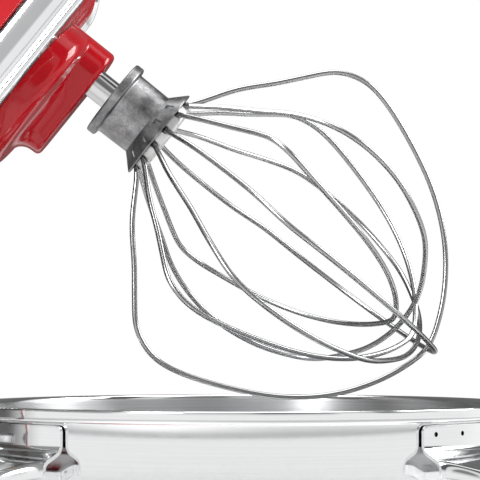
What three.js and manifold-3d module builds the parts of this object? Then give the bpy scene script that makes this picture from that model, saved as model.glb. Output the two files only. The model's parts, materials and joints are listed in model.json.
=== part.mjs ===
// Tilt-head stand mixer with wire whisk and two-eared steel bowl. Millimetres, +Z up, nose towards +X.
// The head is built level (closed) and then swung up about the hinge pin to its raised rest position.
import * as THREE from 'three';
import { mergeVertices } from 'three/addons/utils/BufferGeometryUtils.js';
import Module from 'manifold-3d';

const wasm = await Module();
wasm.setup();

// ---- driving dimensions ------------------------------------------------------------------
const RIM = 238;                     // height of the bowl rim above the table
const HEAD_Z = 235.5;                // underside of the planetary block when the head is level
const TILT = 51.83;                  // head swing from level to raised, degrees
const OFFSET = 22;                   // beater shaft ahead of the planetary axis
const HINGE = [-167.1, 218.2];       // hinge pin axis, x and z
const SHIFT_X = 71;                  // moves the finished mixer so that its box is centred

const HEAD = { nose: 82, rear: -224, half: 54, wall: 4, underside: 23.8, split: 41, top: 118 };
const BAND = { low: 22, high: 40.6, bulge: 3.4, lip: 1.6 };
const NECK = { front: -149, rear: -187, half: 24, low: -36.3 };
const PLANET = { radius: 35.5, low: 10, high: 23.4, edge: 4.5, boss: 14.8, tail: 40, tailHalf: 12 };
const SHAFT = { radius: 6.5, end: 31, top: 37 };
const HUB = { top: 9.2, flange: 13.5, body: 29, lip: 36, plug: 40.3 };
const HUB_R = { flange: 18, body: 15, lip: 21.4, plug: 17.8, bore: 6.9, pocket: 11 };
const WIRE = { radius: 1.15, sides: 6, steps: 22 };
const BOWL = { rim: 117.5, wall: 1.4, bottom: 40, bead: 2.6, foot: 54 };
const BASE = { front: 102, rear: -236, half: 100, low: 4.5, top: 30 };
const COLUMN = { front: -146, rear: -212, half: 47, ear: 20.8, slotFloor: 186 };

// The six whisk loops: roll of the plane at the hub, extra roll at the bulge, half width, tip depth,
// and how far a bent loop leans off its plane.
const LOOPS = [
  { roll: -10, turn: -1, half: 80.2, tip: 187.6, square: true },
  { roll: 27, turn: 12, half: 60, tip: 171.2, square: false },
  { roll: 55, turn: 11, half: 60, tip: 167.6, square: true, lean: -4.2 },
  { roll: 86, turn: 7, half: 68, tip: 190.4, square: false },
  { roll: 112, turn: 5, half: 79, tip: 182, square: false },
  { roll: 141, turn: -2, half: 70.5, tip: 178.6, square: true },
];
// Half outlines of a loop: share of the length below the hub, share of the half width.
const SQUARE_FORM = [[0, 0.25], [0.09, 0.49], [0.17, 0.665], [0.23, 0.81], [0.29, 0.94], [0.37, 1],
  [0.45, 0.985], [0.62, 0.86], [0.75, 0.72], [0.86, 0.535], [0.94, 0.32], [0.985, 0.125]];
const ROUND_FORM = [[0, 0.33], [0.09, 0.465], [0.2, 0.65], [0.3, 0.83], [0.42, 0.97], [0.54, 1],
  [0.67, 0.955], [0.78, 0.85], [0.87, 0.71], [0.94, 0.49], [0.98, 0.3]];

// Positions in the level head: motor axis height, nose socket height, knobs (x, z), brush station.
const MOTOR_Z = 76;
const HUB_Z = 74;
const KNOB = [50, 70];
const DIAL = [-96, 64];
const BRUSH_X = -181;
const GRIP = { halfWidth: 101, reach: 19.5 };  // bowl ears in plan: round front, straight sides
const BOWL_TURN = -4.8;              // the bowl's ears are locked a little off square
const LOCK = [-180, 160];

// ---- materials -----------------------------------------------------------------------------
const paint = (color, metalness, roughness) => new THREE.MeshStandardMaterial({ color, metalness, roughness });
const RED = paint(0xb5121f, 0.0, 0.25);
const CHROME = paint(0xd9dcde, 1.0, 0.12);
const STEEL = paint(0xc4c7c9, 1.0, 0.25);
const CAST = paint(0x9a9c9c, 0.9, 0.5);
const LIGHT = paint(0xe6e7e6, 0.8, 0.4);
const DARK = paint(0x2b2c2e, 0.2, 0.6);
const RUBBER = paint(0x3a3a3b, 0.0, 0.9);
const COPPER = paint(0xb06a3a, 0.8, 0.4);
const BRASS = paint(0xb99a55, 0.9, 0.35);

// ---- geometry helpers ------------------------------------------------------------------------
const rad = (degrees) => degrees * Math.PI / 180;

function toSolid(geometry) {
  const plain = geometry.clone();
  plain.deleteAttribute('normal');
  plain.deleteAttribute('uv');
  const merged = mergeVertices(plain, 1e-4);
  const index = Uint32Array.from(merged.index.array);
  const data = Float32Array.from(merged.attributes.position.array);
  return new wasm.Manifold(new wasm.Mesh({ numProp: 3, vertProperties: data, triVerts: index }));
}

function fromSolid(solid) {
  const mesh = solid.getMesh();
  const count = mesh.vertProperties.length / mesh.numProp;
  const data = new Float32Array(count * 3);
  for (let i = 0; i < count; i += 1) {
    for (let k = 0; k < 3; k += 1) {
      data[i * 3 + k] = mesh.vertProperties[i * mesh.numProp + k];
    }
  }
  const geometry = new THREE.BufferGeometry();
  geometry.setAttribute('position', new THREE.BufferAttribute(data, 3));
  geometry.setIndex(Array.from(mesh.triVerts));
  return geometry;
}

function cut(body, ...tools) {
  let solid = toSolid(body);
  for (const tool of tools) {
    solid = solid.subtract(toSolid(tool));
  }
  return fromSolid(solid);
}

function join(body, ...others) {
  let solid = toSolid(body);
  for (const other of others) {
    solid = solid.add(toSolid(other));
  }
  return fromSolid(solid);
}

function block(x0, x1, y0, y1, z0, z1) {
  const geometry = new THREE.BoxGeometry(x1 - x0, y1 - y0, z1 - z0);
  return geometry.translate((x0 + x1) / 2, (y0 + y1) / 2, (z0 + z1) / 2);
}

// Turned part about +Z; the profile is a list of [radius, height] from the bottom up, outside first.
function turned(profile, segments = 48, x = 0, y = 0) {
  const points = profile.map(([r, z]) => new THREE.Vector2(r, z));
  const geometry = new THREE.LatheGeometry(points, segments);
  return geometry.rotateX(Math.PI / 2).translate(x, y, 0);
}

function rod(radius, z0, z1, segments = 24, x = 0, y = 0) {
  return turned([[0, z0], [radius, z0], [radius, z1], [0, z1]], segments, x, y);
}

function tube(inner, outer, z0, z1, segments = 32, x = 0, y = 0) {
  return turned([[inner, z0], [outer, z0], [outer, z1], [inner, z1], [inner, z0]], segments, x, y);
}

// Lays a part built about +Z down so that its axis runs along +X or +Y.
const alongX = (geometry) => geometry.rotateY(Math.PI / 2);
const alongY = (geometry) => geometry.rotateX(-Math.PI / 2);

// Closed skin through rings of equal point count, bottom ring first, each ring counter-clockwise.
function loft(rings) {
  const n = rings[0].length;
  const points = rings.flat();
  const index = [];
  for (let k = 0; k + 1 < rings.length; k += 1) {
    for (let i = 0; i < n; i += 1) {
      const a = k * n + i;
      const b = k * n + (i + 1) % n;
      index.push(a, b, b + n, a, b + n, a + n);
    }
  }
  const low = points.push(middle(rings[0])) - 1;
  const high = points.push(middle(rings[rings.length - 1])) - 1;
  for (let i = 0; i < n; i += 1) {
    index.push(low, (i + 1) % n, i);
    const top = (rings.length - 1) * n;
    index.push(high, top + i, top + (i + 1) % n);
  }
  const geometry = new THREE.BufferGeometry();
  geometry.setAttribute('position', new THREE.Float32BufferAttribute(points.flat(), 3));
  geometry.setIndex(index);
  return geometry;
}

function middle(ring) {
  return [0, 1, 2].map((k) => ring.reduce((sum, point) => sum + point[k], 0) / ring.length);
}

// Rounded plan outline from rear to front: superellipse ends joined by straight sides.
function outline({ front, rear, half, z, nose = 60, tail = 50, power = 2.5, count = 24 }) {
  const ring = [];
  const quarter = count / 2;
  for (let i = 0; i <= quarter; i += 1) {
    ring.push(corner(front - nose, nose, half, -90 + 180 * i / quarter, power, z));
  }
  for (let i = 0; i <= quarter; i += 1) {
    ring.push(corner(rear + tail, tail, half, 90 + 180 * i / quarter, power, z));
  }
  return ring;
}

function corner(centre, reach, half, degrees, power, z) {
  const c = Math.cos(rad(degrees));
  const s = Math.sin(rad(degrees));
  const x = centre + reach * Math.sign(c) * Math.abs(c) ** (2 / power);
  const y = half * Math.sign(s) * Math.abs(s) ** (2 / power);
  return [Math.abs(c) < 1e-9 ? centre : x, Math.abs(s) < 1e-9 ? 0 : y, z];
}

// Round bar swept along a smooth path.
function sweep(points, radius, sides, steps, closed = false) {
  const curve = new THREE.CatmullRomCurve3(points.map((p) => new THREE.Vector3(...p)), closed, 'centripetal');
  const shape = new THREE.Shape();
  for (let i = 0; i < sides; i += 1) {
    const a = 2 * Math.PI * i / sides;
    if (i === 0) {
      shape.moveTo(radius, 0);
    } else {
      shape.lineTo(radius * Math.cos(a), radius * Math.sin(a));
    }
  }
  return new THREE.ExtrudeGeometry(shape, { steps, bevelEnabled: false, extrudePath: curve });
}

// Flat plate with a plan outline given as [x, y] points.
function plate(points, z0, z1, bevel = 0) {
  const shape = new THREE.Shape(points.map(([x, y]) => new THREE.Vector2(x, y)));
  const options = { depth: z1 - z0 - 2 * bevel, bevelEnabled: bevel > 0, bevelSize: bevel, bevelOffset: -bevel,
    bevelThickness: bevel, bevelSegments: 2, steps: 1 };
  return new THREE.ExtrudeGeometry(shape, options).translate(0, 0, z0 + bevel);
}

// ---- assembly bookkeeping ------------------------------------------------------------------
const group = new THREE.Group();
group.name = 'stand_mixer';

function addPart(name, geometry, material) {
  const placed = geometry.translate(SHIFT_X, 0, 0);
  placed.computeVertexNormals();
  const mesh = new THREE.Mesh(placed, material);
  mesh.name = name;
  group.add(mesh);
}

// Head parts are drawn level with z measured from the underside of the planetary block.
function addHeadPart(name, geometry, material) {
  geometry.translate(-HINGE[0], 0, HEAD_Z - HINGE[1]);
  geometry.rotateY(-rad(TILT));
  geometry.translate(HINGE[0], 0, HINGE[1]);
  addPart(name, geometry, material);
}

// ---- base, column and feet -------------------------------------------------------------------
function basePlan(inset, z) {
  return outline({ front: BASE.front - inset, rear: BASE.rear + inset, half: BASE.half - inset, z,
    nose: 105, tail: 75, power: 2.3, count: 40 });
}

function baseCasting() {
  const body = loft([basePlan(2, BASE.low), basePlan(0, 7), basePlan(0, 20), basePlan(2.5, 26.5),
    basePlan(8, BASE.top)]);
  const pocket = loft([basePlan(9, BASE.low - 1), basePlan(9, 8), basePlan(14, 22)]);
  return cut(body, pocket);
}

function baseCover() {
  return loft([basePlan(9.4, BASE.low), basePlan(9.4, 7)]);
}

function columnPlan(z, lean, half) {
  return outline({ front: COLUMN.front - lean, rear: COLUMN.rear - lean * 0.1, half, z,
    nose: 24, tail: 26, power: 3.2, count: 20 });
}

function columnCasting() {
  const [hx, hz] = HINGE;
  const flare = [[30.3, 60], [36, 54], [46, 50], [70, 47.5], [150, 47], [hz - 6, COLUMN.half]];
  const body = loft(flare.map(([z, half]) => columnPlan(z, -Math.max(0, half - 47.5) * 0.45, half)));
  const ears = alongY(rod(COLUMN.ear, -46.9, 46.9, 40)).translate(hx, 0, hz);
  const slot = block(COLUMN.rear - 20, COLUMN.front + 20, -NECK.half - 0.4, NECK.half + 0.4, COLUMN.slotFloor,
    hz + 40);
  const slope = block(-60, 0, -70, 70, -20, 60).rotateY(rad(-33)).translate(hx - 24, 0, hz - 14);
  const bore = alongY(rod(6.2, -60, 60, 24)).translate(hx, 0, hz);
  const hollow = block(COLUMN.rear + 8, COLUMN.front - 8, -38, 38, 25, COLUMN.slotFloor - 8);
  const lockBore = alongY(rod(4.4, 30, 60, 20)).translate(LOCK[0], 0, LOCK[1]);
  return cut(join(cut(body, slope), ears), slot, bore, hollow, lockBore);
}

function foot(x, y) {
  return turned([[0, 0], [11, 0], [12.5, 1.2], [11.5, 4.2], [0, 4.2]], 24, x, y);
}

function addBase() {
  addPart('base_casting', baseCasting(), RED);
  addPart('base_cover', baseCover(), DARK);
  addPart('column_casting', columnCasting(), RED);
  const spots = [[60, -62], [60, 62], [-195, -62], [-195, 62], [-70, 0]];
  spots.forEach(([x, y], i) => addPart(`foot_${i + 1}`, foot(x, y), RUBBER));
  addPart('hinge_pin', alongY(rod(6, -46.2, 46.2, 24)).translate(HINGE[0], 0, HINGE[1]), STEEL);
  addPart('power_inlet', powerInlet(), DARK);
}

// Recessed two-pin inlet low on the back of the column; the lead is not part of the mixer as shown.
function powerInlet() {
  const back = COLUMN.rear;
  const shell = block(back - 3.4, back - 0.4, -13, 13, 50, 70);
  const mouth = block(back - 5, back - 1.8, -9.5, 9.5, 54, 66);
  return cut(shell, mouth);
}

// ---- bowl and its seat -----------------------------------------------------------------------
function clampPlate() {
  const profile = [[0, 30.3], [66, 30.3], [66, 33.5], [64.5, 35], [58, 35], [58, 33], [0, 33]];
  const plateBody = turned(profile, 48);
  const lugs = [0, 1, 2].map((k) => {
    const lug = block(54.6, 60, -9, 9, 37.4, 39.4);
    const post = block(58.2, 62, -9, 9, 32, 39.4);
    return join(lug, post).rotateZ(rad(60 + 120 * k));
  });
  return join(plateBody, ...lugs);
}

// The bowl body: one spun sheet with a rolled bead at the rim.
function bowlBody() {
  const { rim, wall, bottom, bead } = BOWL;
  const inner = [[0, 1.2], [42, 1.2], [68, 3.6], [84, 11], [96, 25], [105, 45], [110.5, 75], [114, 110],
    [115.8, 150], [116.3, 190]];
  const outer = inner.map(([r, z]) => [r, z]).slice(1);
  const outside = [[0, 0], ...outer.map(([r, z], i) => sheetOffset(outer, i, wall))];
  const top = RIM - bottom;
  const roll = [[rim - 0.2, top - 4.2], [rim + 1.4, top - 5.2], [rim + bead + 1.2, top - 4.3],
    [rim + bead + 2, top - 2.4], [rim + bead + 1.2, top - 0.6], [rim + 1.4, top], [rim - 0.4, top - 0.6],
    [rim - 1.4, top - 2.2]];
  const profile = [...outside, ...roll, ...inner.reverse()];
  return turned(profile.map(([r, z]) => [r, z + bottom]), 48);
}

function sheetOffset(points, i, wall) {
  const a = points[Math.max(0, i - 1)];
  const b = points[Math.min(points.length - 1, i + 1)];
  const dx = b[0] - a[0];
  const dz = b[1] - a[1];
  const length = Math.hypot(dx, dz);
  return [points[i][0] + wall * dz / length, points[i][1] - wall * dx / length];
}

function bowlFoot() {
  const top = BOWL.bottom - 0.3;
  const profile = [[44, top], [44, 38], [50, 36], [50, 33.4], [BOWL.foot, 33.4], [BOWL.foot, 36], [48, 38.6],
    [48, top], [44, top]];
  const tabs = [0, 1, 2].map((k) => block(52, 56.8, -8, 8, 34.4, 36.8).rotateZ(rad(60 + 120 * k)));
  return join(turned(profile, 48), ...tabs);
}

// Folded sheet ear: wall flange against the bowl, then a shelf folded outwards and down.
function bowlEar(side) {
  const inner = BOWL.rim + 1;
  const span = 53.5;
  const steps = 20;
  const top = RIM - 6.2;
  const sections = [];
  for (let i = 0; i <= steps; i += 1) {
    const t = Math.sin(Math.PI * (i / steps - 0.5));
    const a = rad(span * t + BOWL_TURN);
    const straight = GRIP.halfWidth / Math.max(0.1, Math.abs(Math.sin(rad(span * t)))) - inner;
    const reach = Math.min(GRIP.reach, Math.max(1.5, straight));
    const fold = RIM - 19;
    const profile = [[inner, fold + 1], [inner, top], [inner + 1.8, top], [inner + 1.8, fold + 1.2],
      [inner + 3.2, fold - 0.6], [inner + reach, fold - 9], [inner + reach + 1, fold - 10.4],
      [inner + reach + 1, fold - 15], [inner + reach - 0.8, fold - 15], [inner + reach - 0.8, fold - 11],
      [inner + 2.4, fold - 2.4]];
    sections.push(profile.map(([r, z]) => [side * r * Math.cos(a), side * r * Math.sin(a), z]));
  }
  return loft(sections);
}

function addBowl() {
  addPart('bowl_clamp_plate', clampPlate(), STEEL);
  addPart('bowl', bowlBody(), CHROME);
  addPart('bowl_foot', bowlFoot(), STEEL);
  addPart('bowl_ear_front', bowlEar(1), STEEL);
  addPart('bowl_ear_rear', bowlEar(-1), STEEL);
}

// ---- head shells ---------------------------------------------------------------------------
function headRing(z, inset, lean = 0) {
  return outline({ front: HEAD.nose - inset - lean, rear: HEAD.rear + inset + lean * 1.6,
    half: HEAD.half - inset, z, nose: 44, tail: 48, power: 2.6, count: 24 });
}

// Ring that stops short of the nose, so that a flat floor stays flat behind it.
function floorRing(z, inset) {
  return outline({ front: 47, rear: HEAD.rear + inset + 6, half: HEAD.half - inset - 6, z, nose: 30, tail: 42,
    power: 2.6, count: 24 });
}

// The lower edge of the head sweeps up over the nose.
function sweepNose(geometry) {
  const position = geometry.attributes.position;
  for (let i = 0; i < position.count; i += 1) {
    const t = Math.min(1, Math.max(0, (position.getX(i) - 48) / 26));
    const fade = Math.min(1, Math.max(0, (100 - position.getZ(i)) / 50));
    position.setZ(i, position.getZ(i) + 9 * t * t * (3 - 2 * t) * fade);
  }
  return geometry;
}

function lowerCasing() {
  const { wall, underside, split } = HEAD;
  const body = sweepNose(loft([floorRing(underside, 12), headRing(underside, 9), headRing(underside, 5.4),
    headRing(underside + 2, 3.4), headRing(split, 3.4), headRing(split, 9), floorRing(split, 12)]));
  const inside = sweepNose(loft([floorRing(underside + wall, 12), headRing(underside + wall, 3.4 + wall),
    headRing(split + 3, 3.4 + wall), floorRing(split + 3, 12)]));
  const shell = cut(body, inside);
  const neck = block(NECK.rear, NECK.front, -NECK.half, NECK.half, NECK.low, underside + wall);
  const pinBore = alongY(rod(6.3, -60, 60, 24)).translate(HINGE[0], 0, HINGE[1] - HEAD_Z);
  const beaterTrack = rod(OFFSET + 10, underside - 5, underside + wall + 2, 40);
  return cut(join(shell, neck), pinBore, beaterTrack);
}

function upperCasing() {
  const levels = [[HEAD.split + 1, 0.4, 0], [58, 0, 0], [78, 1.2, 2], [94, 5, 6], [106, 12, 12],
    [113.5, 22, 20], [HEAD.top, 37, 32]];
  const outer = levels.map(([z, inset, lean]) => headRing(z, inset, lean));
  const seam = levels[0][0];
  const body = sweepNose(loft([floorRing(seam, 12), headRing(seam, 9), ...outer]));
  const w = HEAD.wall;
  const inner = levels.slice(0, 5).map(([z, inset, lean], i) => headRing(i ? z : z - 3, inset + w, lean));
  inner.push(headRing(HEAD.top - w - 1, 32, 24));
  inner.unshift(floorRing(seam - 3, 12));
  const socket = alongX(rod(20.4, 40, 100, 32)).translate(0, 0, HUB_Z);
  const knobHole = alongY(rod(4.4, 30, 80, 20)).translate(KNOB[0], 0, KNOB[1]);
  const dialHole = alongY(rod(4.4, -80, -30, 20)).translate(DIAL[0], 0, DIAL[1]);
  const brushHoles = alongY(rod(7.2, -80, 80, 24)).translate(BRUSH_X, 0, MOTOR_Z);
  return cut(body, sweepNose(loft(inner)), socket, knobHole, dialHole, brushHoles);
}

function trimBand() {
  const { low, high, bulge, lip } = BAND;
  const levels = [[low, 0.6], [low + 0.5, -bulge * 0.9], [low + 2.4, -bulge], [low + 4.2, -lip * 0.6],
    [low + 9, -lip], [high - 3, -lip * 0.5], [high, 0.2]];
  const rings = [[low, 4], ...levels, [high, 4]].map(([z, inset]) => headRing(z, inset));
  const body = sweepNose(loft([floorRing(low, 12), ...rings, floorRing(high, 12)]));
  const hole = sweepNose(loft([floorRing(low - 6, 12), headRing(low - 6, 3.1), headRing(high + 6, 3.1),
    floorRing(high + 6, 12)]));
  return cut(body, hole);
}

// ---- nose attachment drive -----------------------------------------------------------------
function hubSocket() {
  const ring = alongX(turned([[16, 52], [20, 52], [20, 84], [18.6, 85.4], [16, 85.4], [16, 52]], 36));
  return ring.translate(0, 0, HUB_Z);
}

function hubCap() {
  const face = turned([[0, 85.8], [18, 85.8], [20.5, 86.6], [20.5, 89], [17, 91.4], [0, 92.2]], 36);
  const knuckle = block(-24.6, -18, -7, 7, 85.8, 90.6);
  return alongX(join(face, knuckle)).translate(0, 0, HUB_Z);
}

function hubKnob() {
  const grip = [];
  for (let i = 0; i < 30; i += 1) {
    const r = i % 5 < 3 ? 11 : 10.2;
    grip.push([r * Math.cos(rad(12 * i)), r * Math.sin(rad(12 * i))]);
  }
  const head = plate(grip, HEAD.half + 3, HEAD.half + 15, 1.2);
  const stud = rod(4, 46, HEAD.half + 4, 20);
  return alongY(join(head, stud)).translate(KNOB[0], 0, KNOB[1]);
}

// ---- planetary and whisk -------------------------------------------------------------------
function bossPlan(inset) {
  const points = [];
  const tailX = OFFSET - PLANET.tail;
  const r = PLANET.boss - inset;
  for (let i = 0; i <= 20; i += 1) {
    const a = rad(-98 + 196 * i / 20);
    points.push([OFFSET + r * Math.cos(a), r * Math.sin(a)]);
  }
  for (const side of [1, -1]) {
    for (let i = 0; i <= 4; i += 1) {
      const a = rad(side > 0 ? 98 + 82 * i / 4 : 180 + 82 * i / 4);
      const x = tailX + 7 + (7 - inset) * Math.cos(a);
      points.push([x, side * (PLANET.tailHalf - 7) + (7 - inset) * Math.sin(a)]);
    }
  }
  return points;
}

function planetaryBody() {
  const { radius, low, high, edge } = PLANET;
  const ring = (inset, z) => bossPlan(inset).map(([x, y]) => [x, y, z]);
  const boss = loft([ring(3, 0), ring(1.2, 0.7), ring(0.3, 2.2), ring(0, 4), ring(0, 14)]);
  const drum = turned([[0, low], [radius - edge - 2, low], [radius - edge * 0.45, low + edge * 0.3],
    [radius - 0.6, low + edge * 0.75], [radius, low + edge + 1], [radius, high], [0, high]], 44);
  const column = rod(PLANET.boss, 1.6, high, 40, OFFSET);
  const shaftHole = rod(SHAFT.radius + 0.3, -2, high + 2, 28, OFFSET);
  const recess = rod(11, high - 5, high + 2, 28, OFFSET);
  return cut(join(drum, boss, column), shaftHole, recess, rod(4.9, high - 8, high + 2, 20));
}

function beaterShaft() {
  const { radius, end, top } = SHAFT;
  const body = turned([[0, -end], [radius - 1, -end], [radius, -end + 1], [radius, top], [0, top]], 28, OFFSET);
  const pinHole = alongY(rod(1.7, -12, 12, 16)).translate(OFFSET, 0, -21);
  return cut(body, pinHole);
}

function whiskHub() {
  const { top, flange, body, lip } = HUB;
  const r = HUB_R;
  const profile = [[r.pocket, -lip + 5], [r.plug - 1.4, -lip + 5], [r.plug + 0.4, -lip], [r.lip, -lip],
    [r.lip, -lip + 1], [r.body + 0.4, -body - 0.4], [r.body, -body + 0.6], [r.body, -flange],
    [r.flange - 0.7, -flange], [r.flange, -flange + 0.7], [r.flange, -top - 0.9], [r.flange - 0.9, -top],
    [r.bore, -top], [r.bore, -flange - 0.6], [r.pocket, -flange - 0.6], [r.pocket, -lip + 5]];
  const shell = turned(profile, 32);
  const keyway = block(-2, 2, -10.4, 10.4, -flange - 2, -top + 2);
  const slots = [];
  for (let k = 0; k < 12; k += 1) {
    const punch = new THREE.CapsuleGeometry(0.8, 1.6, 1, 6).rotateX(Math.PI / 2);
    slots.push(punch.translate(r.body + 4.2, 0, -lip + 4).rotateZ(rad(LOOPS[0].roll + 15 + 30 * k)));
  }
  return cut(shell, keyway, ...slots).translate(OFFSET, 0, 0);
}

// One point of a whisk loop: depth below the planetary underside, signed distance from the axis.
function wirePoint(loop, depth, reach, share) {
  const turn = loop.turn * Math.min(1, share * 2.4);
  const roll = rad(loop.roll + turn);
  const lean = (loop.lean ?? 0) * Math.sin(Math.PI * share);
  return [OFFSET + reach * Math.cos(roll) + lean, -reach * Math.sin(roll), -depth];
}

function wirePath(loop) {
  const form = loop.square ? SQUARE_FORM : ROUND_FORM;
  const start = HUB.lip + 1.2;
  const length = loop.tip - start;
  const half = form.map(([s, w], i) => {
    const reach = i === 0 ? 18 : Math.max(18 * (1 - s), w * loop.half);
    return [start + s * length, reach, s];
  });
  half.unshift([start - 4.4, 14.6, 0]);
  const down = half.map(([u, r, s]) => wirePoint(loop, u, r, s));
  const up = half.map(([u, r, s]) => wirePoint(loop, u, -r, s)).reverse();
  return [...down, wirePoint(loop, loop.tip, 0, 1), ...up];
}

function whiskWire(loop) {
  return sweep(wirePath(loop), WIRE.radius, WIRE.sides, WIRE.steps * 2);
}

function wireHole(loop, sign) {
  const a = wirePoint(loop, HUB.lip - 3.6, sign * 14.2, 0);
  const b = wirePoint(loop, HUB.lip + 3.6, sign * 20.2, 0);
  return sweep([a, b], WIRE.radius + 0.7, 8, 1);
}

function whiskPlug() {
  const { lip, plug } = HUB;
  const body = turned([[0, -plug], [HUB_R.plug - 0.8, -plug], [HUB_R.plug, -plug + 0.8],
    [HUB_R.plug, -lip - 0.3], [HUB_R.plug - 1.8, -lip + 4.6], [0, -lip + 4.6]], 36, OFFSET);
  const holes = LOOPS.flatMap((loop) => [wireHole(loop, 1), wireHole(loop, -1)]);
  return cut(body, ...holes);
}

function addWhisk() {
  addHeadPart('whisk_hub', cut(whiskHub(), ...LOOPS.flatMap((loop) => [wireHole(loop, 1), wireHole(loop, -1)])),
    CAST);
  addHeadPart('whisk_plug', whiskPlug(), LIGHT);
  LOOPS.forEach((loop, i) => addHeadPart(`whisk_wire_${i + 1}`, whiskWire(loop), STEEL));
}

// ---- drive train inside the head -------------------------------------------------------------
function gear(radius, teeth, z0, z1, x = 0, y = 0) {
  const points = [];
  for (let i = 0; i < teeth * 4; i += 1) {
    const r = i % 4 < 2 ? radius : radius - 1.6;
    const a = 2 * Math.PI * (i + (i % 4 === 1 || i % 4 === 3 ? -0.25 : 0)) / (teeth * 4);
    points.push([x + r * Math.cos(a), y + r * Math.sin(a)]);
  }
  return plate(points, z0, z1);
}

function motorRotor() {
  const profile = [[0, -208], [4, -208], [4, -190], [13, -190], [13, -172], [4.5, -172], [4.5, -166],
    [21, -166], [21, -118], [5, -118], [5, -52], [8, -52], [8, -24], [4, -24], [4, -16], [0, -16]];
  return alongX(turned(profile, 28)).translate(0, 0, MOTOR_Z);
}

function motorStator() {
  const ring = tube(21.8, 33, -168, -116, 36);
  const flat = block(27, 40, -40, 40, -170, -114);
  return alongX(cut(ring, flat, flat.clone().rotateZ(Math.PI))).translate(0, 0, MOTOR_Z);
}

function brush(side) {
  return block(BRUSH_X - 4, BRUSH_X + 4, side > 0 ? 13.6 : -46, side > 0 ? 46 : -13.6, MOTOR_Z - 4, MOTOR_Z + 4);
}

function brushCap(side) {
  const cap = turned([[0, 46.4], [6.8, 46.4], [6.8, 53.6], [5.8, 54.6], [0, 54.6]], 24);
  const slot = block(-6, 6, -0.7, 0.7, 53.2, 56);
  const geometry = alongY(cut(cap, slot));
  return geometry.rotateZ(side > 0 ? 0 : Math.PI).translate(BRUSH_X, 0, MOTOR_Z);
}

function gearboxPlate() {
  const body = block(-62, 40, -40, 40, 38.4, 41.4);
  return cut(body, rod(5, 30, 50, 20));
}

function wormWheel() {
  const [x, y] = [-38, 24.6];
  return join(gear(16, 20, 70, 82, x, y), rod(5, 41.8, 88, 20, x, y), gear(9, 12, 44, 52, x, y));
}

// The centre shaft: bottom end in the planetary, large gear, then the bevel for the nose socket.
function centreShaft() {
  const radius = Math.hypot(38, 24.6) - 9 - 0.5;
  const shaft = rod(4.6, 16, 62, 20);
  const bevel = turned([[0, 51.8], [13, 51.8], [13, 56], [9, 61.2], [0, 61.2]], 24);
  return join(shaft, gear(radius, 40, 44, 52), bevel);
}

function attachmentShaft() {
  const profile = [[0, 14], [8, 14], [12.4, 18.4], [12.4, 19], [5, 20], [5, 48], [12, 48], [12, 64], [0, 64]];
  const body = alongX(turned(profile, 24));
  const square = block(52, 70, -4.8, 4.8, -4.8, 4.8);
  return cut(body, square).translate(0, 0, HUB_Z);
}

function planetPinion() {
  return cut(gear(13, 18, 28.4, 36, OFFSET, 0), rod(SHAFT.radius + 0.3, 20, 40, 28, OFFSET));
}

function addDrive() {
  addHeadPart('motor_stator', motorStator(), DARK);
  addHeadPart('motor_rotor', motorRotor(), COPPER);
  addHeadPart('brush_left', brush(1), DARK);
  addHeadPart('brush_right', brush(-1), DARK);
  addHeadPart('brush_cap_left', brushCap(1), DARK);
  addHeadPart('brush_cap_right', brushCap(-1), DARK);
  addHeadPart('gearbox_plate', gearboxPlate(), CAST);
  addHeadPart('worm_wheel', wormWheel(), BRASS);
  addHeadPart('centre_shaft', centreShaft(), STEEL);
  addHeadPart('attachment_shaft', attachmentShaft(), STEEL);
  addHeadPart('ring_gear', tube(OFFSET + 13.6, OFFSET + 21, 28.2, 36, 36), CAST);
  addHeadPart('planet_pinion', planetPinion(), STEEL);
}

// ---- controls ------------------------------------------------------------------------------
function speedPlate() {
  return alongY(tube(4.6, 17, HEAD.half + 0.3, HEAD.half + 1.7, 32)).rotateZ(Math.PI).translate(DIAL[0], 0, DIAL[1]);
}

function speedKnob() {
  const y = HEAD.half + 2;
  const body = turned([[0, y], [12, y], [12, y + 8], [11, y + 9.2], [0, y + 9.2]], 32);
  const pointer = block(-2.2, 2.2, -3, 16, y + 3, y + 11);
  const stud = rod(4, 40, y + 1, 20);
  return alongY(join(body, pointer, stud)).rotateZ(Math.PI).translate(DIAL[0], 0, DIAL[1]);
}

// Head lock on the far side of the column, below the hinge.
function lockLever() {
  const boss = turned([[0, 47.6], [10, 47.6], [10, 55], [8.8, 56.2], [0, 56.2]], 28);
  const arm = plate([[-6, 0], [6, 0], [4.5, 34], [0, 37], [-4.5, 34]], 50, 55, 0.8);
  const stud = rod(4, 34, 48, 20);
  return alongY(join(boss, arm, stud)).rotateY(rad(70)).translate(LOCK[0], 0, LOCK[1]);
}

function addControls() {
  addHeadPart('speed_plate', speedPlate(), CHROME);
  addHeadPart('speed_knob', speedKnob(), DARK);
  addPart('lock_lever', lockLever(), CHROME);
}

function addHead() {
  addHeadPart('head_lower_casing', lowerCasing(), RED);
  addHeadPart('head_upper_casing', upperCasing(), RED);
  addHeadPart('trim_band', trimBand(), CHROME);
  addHeadPart('hub_socket', hubSocket(), CHROME);
  addHeadPart('hub_cap', hubCap(), CHROME);
  addHeadPart('hub_knob', hubKnob(), DARK);
  addHeadPart('planetary_body', planetaryBody(), RED);
  addHeadPart('beater_shaft', beaterShaft(), STEEL);
  addHeadPart('drive_pin', alongY(rod(1.5, -9.5, 9.5, 16)).translate(OFFSET, 0, -21), STEEL);
}

addBase();
addBowl();
addHead();
addControls();
addDrive();
addWhisk();

export default group;
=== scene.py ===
import json
from math import cos, degrees, pi, radians, sin, sqrt

import bmesh
import bpy
import numpy as np
from mathutils import Matrix, Vector


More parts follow.
